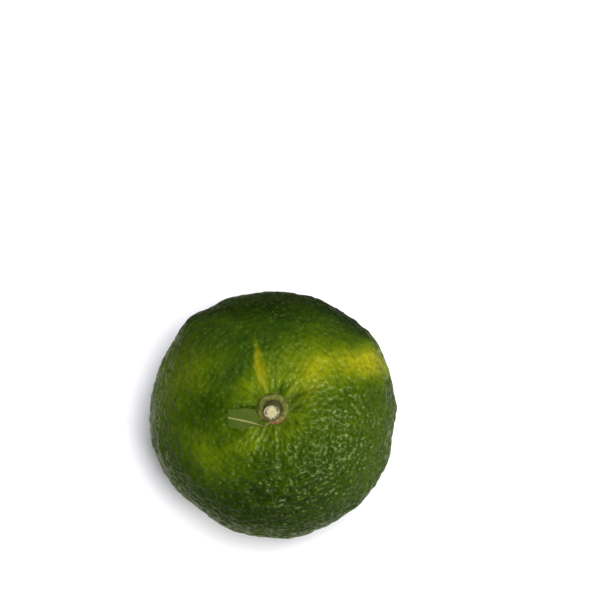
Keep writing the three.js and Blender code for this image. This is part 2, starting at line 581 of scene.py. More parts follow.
@dataclass(frozen=True)
class CutStem(Finish):
    """The stub: a dark green flank, a ragged grey-brown edge and a cream core on the cut."""

    name: str = "cut_stem"
    mirroring: float = 0.2
    bark: Colour = (0.095, 0.130, 0.042)
    edge: Colour = (0.120, 0.090, 0.048)
    core: Colour = (0.430, 0.405, 0.215)
    pith: Colour = (0.220, 0.195, 0.090)
    ash: Colour = (0.330, 0.300, 0.220)
    outline: Colour = (0.045, 0.035, 0.018)
    fibre_wave: float = 0.35 * MM
    ragged_wave: float = 0.6 * MM
    ash_wave: float = 0.45 * MM
    bump_depth: float = 0.12 * MM

    def sockets(self, graph: Graph) -> dict[str, Any]:
        """Works out the sockets.

        Args:
            graph: The material's graph.

        Returns:
            The colour, the roughness and the normal.
        """
        fibre = graph.grain(self.fibre_wave, 3.0, 0.7)
        ragged = graph.value("core") + (graph.grain(self.ragged_wave) - 0.5) * 0.45
        wood = graph.mix(MixMode.BLEND, fibre.between(0.30, 0.55), self.pith, self.core)
        ashen = graph.grain(self.ash_wave, 3.0, 0.6).between(0.46, 0.60)
        outer = graph.mix(MixMode.BLEND, ashen, self.edge, self.ash)
        wood = graph.mix(MixMode.BLEND, ragged.between(0.52, 0.64), wood, outer)
        wood = graph.mix(MixMode.BLEND, graph.value("out").between(0.90, 1.0), wood, self.outline)
        colour = graph.mix(MixMode.BLEND, graph.value("flank"), wood, self.bark)
        normal = graph.bump(fibre, self.bump_depth)
        return {"Base Color": colour, "Roughness": 0.7 + fibre * 0.2, "Normal": normal}


@dataclass(frozen=True)
class LeafSkin(Finish):
    """The leaf stalk: dull grey-green wings with fine veins, and a pale rib."""

    name: str = "leaf"
    mirroring: float = 0.25
    wing: Colour = (0.040, 0.066, 0.005)
    vein: Colour = (0.066, 0.092, 0.012)
    rib: Colour = (0.270, 0.250, 0.090)
    mottle_wave: float = 1.5 * MM
    bump_depth: float = 0.02 * MM

    def sockets(self, graph: Graph) -> dict[str, Any]:
        """Works out the sockets.

        Args:
            graph: The material's graph.

        Returns:
            The colour, the roughness and the normal.
        """
        vein = graph.value("vein")
        mottle = graph.grain(self.mottle_wave, 3.0)
        colour = graph.mix(MixMode.BLEND, vein * 0.55 + (mottle - 0.35) * 1.2, self.wing, self.vein)
        colour = graph.mix(MixMode.BLEND, graph.value("rib"), colour, self.rib)
        normal = graph.bump(vein, self.bump_depth)
        return {"Base Color": colour, "Roughness": 0.50 + mottle * 0.2, "Normal": normal}


@dataclass(frozen=True)
class PaleFloor(Finish):
    """The floor: matt and nearly white."""

    name: str = "floor"
    mirroring: float = 0.5
    white: Colour = (0.93, 0.93, 0.98)

    def sockets(self, graph: Graph) -> dict[str, Any]:
        """Gives the sockets, which are the same all over."""
        return {"Base Color": self.white, "Roughness": 0.9}


# The fruit


@dataclass(frozen=True)
class Lump:
    """A broad swelling or flat down the side of the fruit. Angles are in degrees."""

    at: float
    rise: float
    spread: float


@dataclass(frozen=True)
class Furrow:
    """A furrow that runs out from the calyx. The angle is in degrees."""

    at: float
    start: float
    end: float
    depth: float
    width: float = 0.45 * MM


@dataclass(frozen=True)
class Patch:
    """A patch of other colour on the skin, given by its middle seen from above.

    It reaches half_length along its own heading, half_width across it and drop in height. Its edge is
    the share of those over which it fades. A positive amount is riper, and a negative one greener.
    """

    x: float
    y: float
    half_length: float
    half_width: float
    heading: float
    amount: float
    edge: float = 0.6
    drop: float = 12.0


@dataclass
class Fruit:
    """The fruit's skin: a lumpy, squared ellipsoid with a basin above, a flat below, and pits all over.

    Pairs of lengths or heights are where a zone starts and where it is complete. The wrinkled zone is on
    the side towards -Y, and the pits are coarsest towards +X and -Y.
    """

    columns: int = 440
    rings_above: int = 138
    rings_below: int = 88
    mean_radius: float = 33.0 * MM
    stem_half: float = 26.0 * MM
    blossom_half: float = 28.0 * MM
    flat_cut: float = 0.7 * MM
    fullness: float = 0.9
    basin_depth: float = 1.5 * MM
    basin_width: float = 8.0 * MM
    scar_depth: float = 1.1 * MM
    scar_radius: float = 3.2 * MM
    stem_offset: Place = (-0.05 * MM, 2.6 * MM)
    lump_reach: float = 35.0
    gland_pitch: float = 1.65 * MM
    gland_jitter: float = 0.75
    pit_radii: Place = (0.46 * MM, 0.76 * MM)
    pit_depth: float = 0.46 * MM
    swells: tuple[Place, ...] = ((0.25 * MM, 9.0 * MM), (0.20 * MM, 4.5 * MM))
    pebble_wave: float = 2.3 * MM
    pebble_rise: float = 0.19 * MM
    rim_pebble_rise: float = 0.04 * MM
    radial_wave: float = 0.9 * MM
    radial_rise: float = 0.15 * MM
    wrinkle_waves: tuple[float, float, float] = (5.5 * MM, 1.0, 1.25 * MM)
    wrinkle_rise: float = 0.52 * MM
    general_rise: float = 0.22 * MM
    upper_zone: Place = (26.0 * MM, 30.0 * MM)
    off_flat_zone: Place = (0.0, 2.5 * MM)
    off_calyx_zone: Place = (2.6 * MM, 4.4 * MM)
    off_stem_zone: Place = (6.0 * MM, 16.0 * MM)
    rim_zone: Place = (21.0 * MM, 27.0 * MM)
    wrinkled_at: float = 272.0
    wrinkled_spread: float = 44.0
    wrinkled_start: Place = (11.0 * MM, 15.0 * MM)
    wrinkled_end: Place = (24.0 * MM, 29.0 * MM)
    coarse_at: float = 310.0
    coarse_spread: float = 75.0
    coarse_share: float = 0.60
    fine_share: float = 0.55
    plain_ripeness: float = 0.26
    halo_ripeness: float = 0.14
    halo_radius: float = 6.0 * MM
    halo_width: float = 4.5 * MM
    drifts: tuple[Place, ...] = ((0.10, 16.0 * MM), (0.05, 5.0 * MM))
    scar_zone: Place = (1.2 * MM, 2.8 * MM)
    slope_step: float = 0.004
    lumps: tuple[Lump, ...] = (
        Lump(36, 0.8 * MM, 9),
        Lump(114, 0.5 * MM, 6),
        Lump(132, 1.4 * MM, 8),
        Lump(195, 0.6 * MM, 9),
        Lump(232, -0.8 * MM, 14),
        Lump(280, 0.5 * MM, 8),
        Lump(314, 0.5 * MM, 5),
        Lump(351, -0.8 * MM, 9),
    )
    furrows: tuple[Furrow, ...] = (
        Furrow(4, 4.6 * MM, 10.0 * MM, 0.40 * MM),
        Furrow(26, 4.2 * MM, 14.0 * MM, 0.38 * MM, 0.8 * MM),
        Furrow(65, 3.8 * MM, 7.0 * MM, 0.30 * MM, 0.7 * MM),
        *(Furrow(at, 4.4 * MM, 7.2 * MM, 0.22 * MM, 0.17 * MM) for at in (124, 131, 138, 145, 152)),
        Furrow(178, 4.2 * MM, 12.5 * MM, 0.35 * MM, 0.4 * MM),
        Furrow(238, 4.6 * MM, 11.0 * MM, 0.35 * MM),
        Furrow(270, 4.4 * MM, 8.5 * MM, 0.28 * MM),
        Furrow(300, 4.6 * MM, 9.0 * MM, 0.22 * MM),
        Furrow(326, 4.8 * MM, 9.5 * MM, 0.25 * MM),
    )
    patches: tuple[Patch, ...] = (
        Patch(28.2, 14.2, 10.0, 5.3, 8, 0.64, 0.7, 16.0),
        Patch(12.0, 11.0, 6.0, 3.0, 38, 0.30, 0.9),
        Patch(19.5, 12.0, 3.0, 2.6, 90, 0.10, 0.8),
        Patch(13.0, 11.5, 20.0, 7.0, 14, 0.24, 0.6),
        Patch(7.0, 15.0, 8.0, 4.0, 10, 0.08, 0.9),
        Patch(-4.2, 15.3, 3.0, 0.7, 104, 0.42, 0.9),
        Patch(-2.7, 10.0, 4.5, 1.0, 100, 0.22, 0.9),
        Patch(-18.5, 11.0, 6.5, 5.0, 60, 0.22, 0.9),
        Patch(-6.5, 4.0, 4.0, 2.6, 140, 0.12, 0.9),
        Patch(-18.2, -10.5, 6.5, 4.2, -55, 0.09, 0.9),
        Patch(-7.0, -8.3, 4.2, 2.6, 20, 0.26, 0.9),
        Patch(-12.5, -8.6, 2.2, 3.0, 90, -0.10, 0.9),
        Patch(-14.0, -13.5, 9.0, 5.5, -35, 0.14, 0.9),
        Patch(2.6, 5.2, 2.2, 1.0, 62, -0.25, 0.9),
        Patch(0.0, -6.0, 9.0, 4.5, 0, 0.12, 0.9),
        Patch(8.5, -1.0, 5.0, 5.0, 0, 0.10, 0.9),
        Patch(-28.0, 10.0, 10.0, 7.0, 75, 0.27, 0.9, 18.0),
        # The next two patches make the +Y edge greener and darker: painted shade, as if other fruit stood
        # beside it.
        Patch(0.0, 31.0, 30.0, 6.0, 0, -0.22, 0.6),
        Patch(24.0, 25.0, 12.0, 5.5, -35, -0.28, 0.6),
        Patch(2.0, -25.0, 24.0, 10.0, 0, -0.20, 0.7),
        Patch(-19.5, 1.0, 6.0, 7.0, 90, -0.08, 0.7),
    )
    blue_patches: tuple[Patch, ...] = (
        Patch(-10.5, 10.5, 6.5, 3.2, 40, 0.75, 0.8),
        Patch(-2.0, 20.0, 9.0, 3.2, 15, 0.55, 0.8),
        Patch(-15.0, 19.0, 6.0, 3.0, 20, 0.65, 0.8),
        Patch(14.0, 24.0, 8.0, 4.0, -20, 0.30, 0.8),
    )
    warm_patches: tuple[Patch, ...] = (
        Patch(-3.4, 12.0, 4.5, 0.55, 103, 0.32, 0.9),
        Patch(9.0, 4.6, 4.5, 0.9, 27, 0.22, 0.9),
    )

    def __post_init__(self) -> None:
        """Fits the skin to the fruit node's box, corner to corner."""
        self.fit_scale = np.ones(3)
        self.fit_shift = np.zeros(3)
        azimuth, polar = np.meshgrid(np.linspace(0.0, TURN, 241), np.linspace(0.0, math.pi, 121))
        points = self.smooth(azimuth, polar).reshape(-1, 3)
        low, high = (np.array(corner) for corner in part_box("fruit"))
        self.fit_scale = (high - low) / np.ptp(points, axis=0)
        self.fit_shift = low - points.min(axis=0) * self.fit_scale

    def smooth(self, azimuth: Array, polar: Array) -> Array:
        """The skin without its pits and waves.

        Its radius is the mean radius times sin(polar), and its height half the fruit's height times
        cos(polar), both to the power of the fullness. Each lump adds a bell curve of azimuth and polar
        angle. A bell curve of the radius takes away the basin at the stem end, the blossom end is cut
        flat, and a fourth-power dimple is pressed into it.

        Args:
            azimuth: Angles round +Z, anticlockwise from +X, in radians.
            polar: Angles from the stem end, in radians.

        Returns:
            The points, with x, y and z on the last axis.
        """
        across = signed_power(np.maximum(np.sin(polar), 0.0), self.fullness)
        along = signed_power(np.cos(polar), self.fullness)
        radius = self.mean_radius * across
        level = bell((np.degrees(polar) - 90.0) / self.lump_reach)
        around = np.degrees(azimuth)
        rise = sum(lump.rise * bell(turn_between(lump.at, around) / lump.spread) for lump in self.lumps)
        bumpy = radius + rise * level * across
        middle = self.blossom_half - self.flat_cut
        upper = middle + self.stem_half * along - self.basin_depth * bell(radius / self.basin_width)
        scar = np.maximum(1.0 - np.square(radius / self.scar_radius), 0.0)
        lower = np.maximum(middle + self.blossom_half * along, 0.0) + self.scar_depth * scar**2
        height = np.where(along > 0.0, upper, lower)
        lean = np.square(np.maximum(along, 0.0))
        x = bumpy * np.cos(azimuth) + self.stem_offset[0] * lean
        y = bumpy * np.sin(azimuth) + self.stem_offset[1] * lean
        return np.stack([x, y, height], axis=-1) * self.fit_scale + self.fit_shift

    def normal(self, azimuth: Array, polar: Array) -> Array:
        """The outward unit normal of the smooth skin: its slope down it crossed with its slope round it.

        Args:
            azimuth: The points' azimuths.
            polar: Their polar angles.

        Returns:
            The normals, with x, y and z on the last axis.
        """
        step = self.slope_step
        polar = np.clip(polar, 2.0 * step, math.pi - 2.0 * step)
        round_it = self.smooth(azimuth + step, polar) - self.smooth(azimuth - step, polar)
        down_it = self.smooth(azimuth, polar + step) - self.smooth(azimuth, polar - step)
        normal = np.cross(down_it, round_it)
        return normal / np.linalg.norm(normal, axis=-1, keepdims=True)

    def stem_end(self) -> Array:
        """The middle of the stem end, on the skin."""
        return self.smooth(np.zeros(()), np.zeros(()))

    def angles_over(self, x: Array, y: Array) -> tuple[Array, Array]:
        """The azimuth and the polar angle of the skin under places measured from the stem end's middle."""
        share = np.clip(np.hypot(x, y) / self.mean_radius, 0.0, 1.0)
        return np.arctan2(y, x), np.arcsin(share ** (1.0 / self.fullness))

    def above(self, x: Array, y: Array, lift: Array | float) -> Array:
        """Points raised off the waved skin along its normal.

        Args:
            x: How far the places are from the stem end's middle along +X, seen from above.
            y: The same along +Y.
            lift: How far they are raised.

        Returns:
            The points, with x, y and z on the last axis.
        """
        azimuth, polar = self.angles_over(x, y)
        points = self.smooth(azimuth, polar)
        raised = self.swell(points) + lift
        return points + self.normal(azimuth, polar) * raised[..., None]

    def swell(self, points: Array) -> Array:
        """The broad waves of the skin."""
        return layered(points, self.swells, Pattern.SWELL)

    def pits(self, azimuth: Array, polar: Array, points: Array, stretch: Array) -> Array:
        """The pits over the oil glands.

        The skin is divided into rings one pitch high, and each ring into cells one pitch wide. Each cell
        holds one pit, at a random place, of a random size and depth. A pit is a bell curve of the
        distance from its middle, with the part along the meridian divided by the stretch. The deepest
        of the pits in the nine nearest cells counts.

        Args:
            azimuth: The points' azimuths.
            polar: The points' polar angles.
            points: Points of the smooth skin.
            stretch: How many times as long as wide the pits are, along the meridian.

        Returns:
            The depth at each point, from 0 to 1.
        """
        fine = np.linspace(0.0, math.pi, 2000)
        meridian = self.smooth(np.zeros_like(fine), fine)
        steps = np.linalg.norm(np.diff(meridian, axis=0), axis=1)
        length = np.concatenate([[0.0], np.cumsum(steps)])
        radius = self.mean_radius * np.sin(fine) ** self.fullness
        row = np.floor(np.interp(polar, fine, length) / self.gland_pitch)
        down_it = self.smooth(azimuth, polar + self.slope_step) - points
        down_it /= np.maximum(np.linalg.norm(down_it, axis=-1, keepdims=True), 1e-9)
        deepest = np.zeros(points.shape[:-1])
        for row_step, turn_step in itertools.product((-1, 0, 1), repeat=2):
            ring = row + row_step
            round_ring = TURN * np.interp((ring + 0.5) * self.gland_pitch, length, radius)
            count = np.maximum(np.round(round_ring / self.gland_pitch), 3.0)
            place = np.mod(np.floor(azimuth / TURN * count) + turn_step, count)
            cell = np.stack([ring, place], axis=-1)
            off_along = 0.5 + self.gland_jitter * (hashed(cell, Pattern.GLAND_ALONG) - 0.5)
            off_round = 0.5 + self.gland_jitter * (hashed(cell, Pattern.GLAND_ROUND) - 0.5)
            pit_polar = np.interp((ring + off_along) * self.gland_pitch, length, fine)
            away = points - self.smooth((place + off_round) / count * TURN, pit_polar)
            along = np.sum(away * down_it, axis=-1)
            squared = np.sum(away * away, axis=-1) - np.square(along) * (1.0 - 1.0 / np.square(stretch))
            smallest, largest = self.pit_radii
            size = smallest + (largest - smallest) * hashed(cell, Pattern.GLAND_SIZE)
            depth = 0.45 + 0.55 * hashed(cell, Pattern.GLAND_DEPTH)
            deepest = np.maximum(deepest, depth * np.exp(-np.maximum(squared, 0.0) / np.square(size)))
        return deepest

    def creases(self, x: Array, y: Array) -> Array:
        """The furrows that run out from the calyx.

        Each is a bell curve of the distance across it, and eases in and out along its length.

        Args:
            x: How far the points are from the stem end's middle along +X.
            y: The same along +Y.

        Returns:
            The depth at each point, in metres.
        """
        distance = np.hypot(x, y)
        azimuth = np.degrees(np.arctan2(y, x))
        wander = 1.6 * noise(np.stack([x, y, 0.0 * x], axis=-1), 4.0 * MM, Pattern.RADIAL)
        total = np.zeros_like(distance)
        for furrow in self.furrows:
            across = distance * np.radians(turn_between(furrow.at, azimuth + wander))
            fade_in = ease(distance, furrow.start - 0.6 * MM, furrow.start + 0.8 * MM)
            fade_out = 1.0 - ease(distance, 0.55 * furrow.end, furrow.end)
            total = np.maximum(total, furrow.depth * bell(across / furrow.width) * fade_in * fade_out)
        return total

    def patched(self, points: Array, patches: Sequence[Patch]) -> Array:
        """The sum of the patches at each point.

        The points are first pushed about by noise, so that the patches' edges are uneven. A patch is 1
        inside and fades to 0 over its edge, by the distance measured in its own three sizes.

        Args:
            points: Points of the skin.
            patches: The patches.

        Returns:
            Their sum, each times its amount.
        """
        shifts = [noise(points, 6.0 * MM, Pattern.WARP + axis) for axis in range(3)]
        warped = points + 1.3 * MM * np.stack(shifts, axis=-1)
        total = np.zeros(points.shape[:-1])
        for patch in patches:
            azimuth, polar = self.angles_over(np.array(patch.x * MM), np.array(patch.y * MM))
            away = (warped - self.smooth(azimuth, polar)) / MM
            heading = math.radians(patch.heading)
            along = away[..., 0] * math.cos(heading) + away[..., 1] * math.sin(heading)
            across = away[..., 1] * math.cos(heading) - away[..., 0] * math.sin(heading)
            sizes = (patch.half_length, patch.half_width, patch.drop)
            parts = zip((along, across, away[..., 2]), sizes)
            distance = np.sqrt(sum(np.square(part / size) for part, size in parts))
            total += patch.amount * (1.0 - ease(distance, 1.0 - patch.edge, 1.0 + patch.edge))
        return total

    def build(self, finish: Rind) -> bpy.types.Object:
        """Builds the skin with its pits, waves, furrows and patches.

        Noise in space makes the pebbles. Noise over azimuth and distance makes the ridges that run out
        from the stem, and noise over azimuth and polar angle the wrinkles that run round the fruit.

        Args:
            finish: The rind's finish.

        Returns:
            The piece.
        """
        above = np.linspace(0.0, 0.5 * math.pi, self.rings_above + 1)[1:]
        below = np.linspace(0.5 * math.pi, math.pi, self.rings_below + 2)[1:-1]
        azimuth, polar = np.meshgrid(turns_round(self.columns), np.concatenate([above, below]))
        points = self.smooth(azimuth, polar)
        x, y, _ = np.moveaxis(points - self.stem_end(), -1, 0)
        distance = np.hypot(x, y)
        height = points[..., 2]
        around = np.degrees(azimuth)
        upper = ease(height, *self.upper_zone)
        near_stem = (1.0 - ease(distance, *self.off_stem_zone)) * upper
        under_calyx = ease(distance, *self.off_calyx_zone) * upper + (1.0 - upper)
        near_rim = ease(distance, *self.rim_zone)
        wrinkled = bell(turn_between(self.wrinkled_at, around) / self.wrinkled_spread) * upper
        wrinkled *= ease(distance, *self.wrinkled_start) * (1.0 - 0.75 * ease(distance, *self.wrinkled_end))
        coarse = bell(turn_between(self.coarse_at, around) / self.coarse_spread)
        pit = self.pits(azimuth, polar, points, 1.0 + 0.8 * near_stem - 0.5 * wrinkled)
        pit *= self.fine_share + self.coarse_share * coarse
        crease = self.creases(x, y) * upper
        ring = 6.0 * MM
        run_out = np.stack([np.cos(azimuth) * ring, np.sin(azimuth) * ring, distance / 5.0], axis=-1)
        radial = noise(run_out, self.radial_wave, Pattern.RADIAL) * near_stem
        size = 30.0 * MM
        run_round = np.stack([azimuth * size, 0.0 * azimuth, polar * size], axis=-1)
        wrinkle = noise(run_round, self.wrinkle_waves, Pattern.WRINKLE) * wrinkled
        pebble = noise(points, self.pebble_wave, Pattern.PEBBLE)
        relief = self.swell(points) + self.general_rise
        relief += (self.pebble_rise + self.rim_pebble_rise * near_rim) * pebble
        relief += self.radial_rise * radial + self.wrinkle_rise * wrinkle
        relief -= self.pit_depth * pit * (1.0 - 0.35 * wrinkled) + crease
        relief *= under_calyx * ease(height, *self.off_flat_zone)
        raised = points + self.normal(azimuth, polar) * relief[..., None]
        raised[..., 2] = np.maximum(raised[..., 2], 0.0)
        # Crests of the pebbles, wrinkles and radial ridges are made lighter and yellower: painted highlights
        # on them.
        ripeness_and_painted_light = self.plain_ripeness + 0.05 * pebble + 0.14 * wrinkle + 0.12 * radial
        ripeness_and_painted_light += self.halo_ripeness * bell((distance - self.halo_radius) / self.halo_width) * upper
        ripeness_and_painted_light += layered(points, self.drifts, Pattern.MOTTLE)
        values = {
            "pit": pit,
            "crease": np.clip(crease / (0.5 * MM), 0.0, 1.0),
            # Besides ripeness, this holds painted shade from the +Y edge patches and painted highlights on
            # the crests.
            "ripeness_and_painted_light": ripeness_and_painted_light + self.patched(points, self.patches),
            "blue": np.clip(self.patched(points, self.blue_patches), 0.0, 1.0),
            "warm": np.clip(self.patched(points, self.warm_patches), 0.0, 1.0),
            "scar": (1.0 - ease(distance, *self.scar_zone)) * (1.0 - upper),
        }
        top = self.stem_end()
        bottom = self.smooth(np.zeros(()), np.array(math.pi))
        piece = closed_surface("yuzu_skin", raised, top, bottom, values)
        stand_in_for(piece, "fruit", finish.material())
        return piece


# What stands on the stem end


@dataclass
class Calyx:
    """The calyx: a shallow cup with a thick, uneven rim, pressed into the basin.

    Shares are of its outer radius. Angles are in degrees.
    """

    fruit: Fruit
    columns: int = 160
    bore_share: float = 0.53
    rim_height: float = 1.25 * MM
    floor: float = 0.55 * MM
    sink: float = 0.35 * MM
    rim_rings: int = 28
    floor_shares: tuple[float, ...] = (0.25, 0.45, 0.51)
    under_shares: tuple[float, ...] = (0.99, 0.9, 0.6, 0.3)
    outer_reach: float = 1.08
    inner_power: float = 0.5
    outer_power: float = 1.5
    lobes: int = 5
    lobe_swell: float = 0.015
    uneven_swell: float = 0.025
    wrinkle_rise: float = 0.06 * MM
    lump_rise: float = 0.10 * MM
    cork_at: float = 277.0
    cork_spread: float = 38.0

    def build(self, finish: CalyxSkin) -> bpy.types.Object:
        """Builds the cup: a closed profile turned about the stem end.

        The profile goes from the middle of the cup's floor out to the bore, up and over the rim, down its
        outside, and back under to the middle. The rim's radius follows a cosine and its height a power of
        the sine, smaller inside than outside, so that the bore is steep. The radius swells with the cosine
        of five times the azimuth, and noise makes the rim lumpy and wrinkled.

        Args:
            finish: The calyx's finish.

        Returns:
            The piece.
        """
        low, high = (np.array(corner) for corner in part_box("calyx"))
        half = (high - low) / 2.0
        middle = (low + high) / 2.0
        over = np.linspace(math.pi, 0.0, self.rim_rings)
        inside = over > 0.5 * math.pi
        wall = (1.0 - self.bore_share) / 2.0
        rim_radius = 1.0 - wall + wall * np.cos(over) * np.where(inside, 1.0, self.outer_reach)
        radius = np.concatenate([self.floor_shares, rim_radius, self.under_shares])
        power = np.where(inside, self.inner_power, self.outer_power)
        rim_rise = self.rim_height * np.maximum(np.sin(over), 0.0) ** power
        floor = np.full(len(self.floor_shares), self.floor)
        under = np.full(len(self.under_shares), -self.sink)
        rise = np.concatenate([floor, rim_rise, under])
        share, azimuth = np.meshgrid(radius, turns_round(self.columns), indexing="ij")
        lift = np.broadcast_to(rise[:, None], share.shape)
        on_rim = ease(share, self.bore_share - 0.05, self.bore_share + 0.15)
        around = np.stack([np.cos(azimuth), np.sin(azimuth), 3.0 * share], axis=-1)
        swell = self.lobe_swell * np.cos(self.lobes * azimuth + 0.6)
        swell += self.uneven_swell * noise(around, 0.55, Pattern.CALYX)
        wrinkle = self.wrinkle_rise * noise(around, (0.12, 0.12, 1.5), Pattern.CALYX + 1)
        lump = self.lump_rise * noise(around, 0.6, Pattern.CALYX + 2)
        edge = share * (1.0 + swell * on_rim)
        x = half[0] * edge * np.cos(azimuth)
        y = half[1] * edge * np.sin(azimuth)
        uneven = (wrinkle + lump) * on_rim * (lift > 0.0)
        stem = self.fruit.stem_end()
        skin = self.fruit.above(middle[0] + x - stem[0], middle[1] + y - stem[1], 0.0)
        points = np.stack([middle[0] + x, middle[1] + y, skin[..., 2] + lift + uneven], axis=-1)
        side = bell(turn_between(self.cork_at, np.degrees(azimuth)) / self.cork_spread)
        values = {
            # Where the painted shade inside the cup goes.
            "painted_hollow_shade": 1.0 - ease(share, self.bore_share - 0.01, self.bore_share + 0.07),
            "cork": side * ease(share, 0.72, 0.86),
        }
        first = np.array([middle[0], middle[1], points[0, :, 2].mean()])
        last = np.array([middle[0], middle[1], points[-1, :, 2].mean()])
        piece = closed_surface("calyx_cup", points, first, last, values)
        stand_in_for(piece, "calyx", finish.material())
        return piece


@dataclass
class StemStub:
    """The stub of the stem, cut off level just above the calyx.

    It is slightly oval, and slimmer at its foot.
    """

    fruit: Fruit
    columns: int = 120
    lean: Place = (-0.1 * MM, -0.75 * MM)
    edge: float = 0.22 * MM
    narrowing: float = 0.86
    slimming: float = 0.14
    cut_rings: int = 14
    edge_rings: int = 6
    flank_rings: int = 10
    bark_ridges: float = 0.05
    cut_rise: float = 0.10 * MM
    edge_rise: float = 0.16 * MM
    cut_drop: float = 0.12 * MM

    def build(self, finish: CutStem) -> bpy.types.Object:
        """Builds the stub: a leaning post with a rounded edge and an uneven cut.

        The profile goes from the middle of the cut out to the edge, over a quarter circle, down the
        flank and under. Its foot stays put and its top is shifted by the lean. Noise roughens the cut
        and wrinkles the bark lengthwise.

        Args:
            finish: The stub's finish.

        Returns:
            The piece.
        """
        low, high = (np.array(corner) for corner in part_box("stem_stub"))
        height = high[2] - low[2]
        radius = (high[0] - low[0] - abs(self.lean[0])) / 2.0
        foot = (low[:2] + high[:2] - np.array(self.lean)) / 2.0
        corner = np.linspace(0.5 * math.pi, 0.0, self.edge_rings)
        flat = np.linspace(0.1, 1.0, self.cut_rings) * (radius - self.edge)
        corner_out = radius - self.edge + self.edge * np.cos(corner)
        corner_up = height - self.edge + self.edge * np.sin(corner)
        out = np.concatenate([flat, corner_out, np.full(self.flank_rings, radius), [0.6 * radius]])
        flank_up = np.linspace(0.85, 0.0, self.flank_rings) * height
        up = np.concatenate([np.full(self.cut_rings, height), corner_up, flank_up, [0.0]])
        out_grid, azimuth = np.meshgrid(out, turns_round(self.columns), indexing="ij")
        up_grid = np.broadcast_to(up[:, None], out_grid.shape)
        share = out_grid / radius
        around = np.stack([np.cos(azimuth) * share, np.sin(azimuth) * share, up_grid / height], axis=-1)
        bark = noise(around, (0.16, 0.16, 1.2), Pattern.STUB)
        cut = noise(around, 0.22, Pattern.STUB + 1) + 0.8 * noise(around, 0.09, Pattern.STUB + 2)
        on_cut = ease(up_grid, 0.88 * height, 0.97 * height)
        on_flank = ease(share, 0.8, 1.0)
        slim = 1.0 - self.slimming * (1.0 - ease(up_grid, 0.0, 0.6 * height))
        wide = out_grid * slim * (1.0 + self.bark_ridges * bark * on_flank - 0.03)
        edge_rise = self.edge_rise * ease(share, 0.72, 1.0) * (0.5 + bark)
        tall = up_grid + on_cut * (self.cut_rise * cut + edge_rise - self.cut_drop)
        x = foot[0] + wide * np.cos(azimuth) + self.lean[0] * tall / height
        y = foot[1] + self.narrowing * wide * np.sin(azimuth) + self.lean[1] * tall / height
        points = np.stack([x, y, low[2] + tall], axis=-1)
        values = {
            "out": share,
            "core": share * np.hypot(np.cos(azimuth), 0.8 * np.sin(azimuth)),
            "flank": 1.0 - ease(up_grid, 0.80 * height, 0.95 * height),
        }
        first, last = points[0].mean(axis=0), points[-1].mean(axis=0)
        piece = closed_surface("stub_of_stem", points, first, last, values)
        stand_in_for(piece, "stem_stub", finish.material())
        return piece


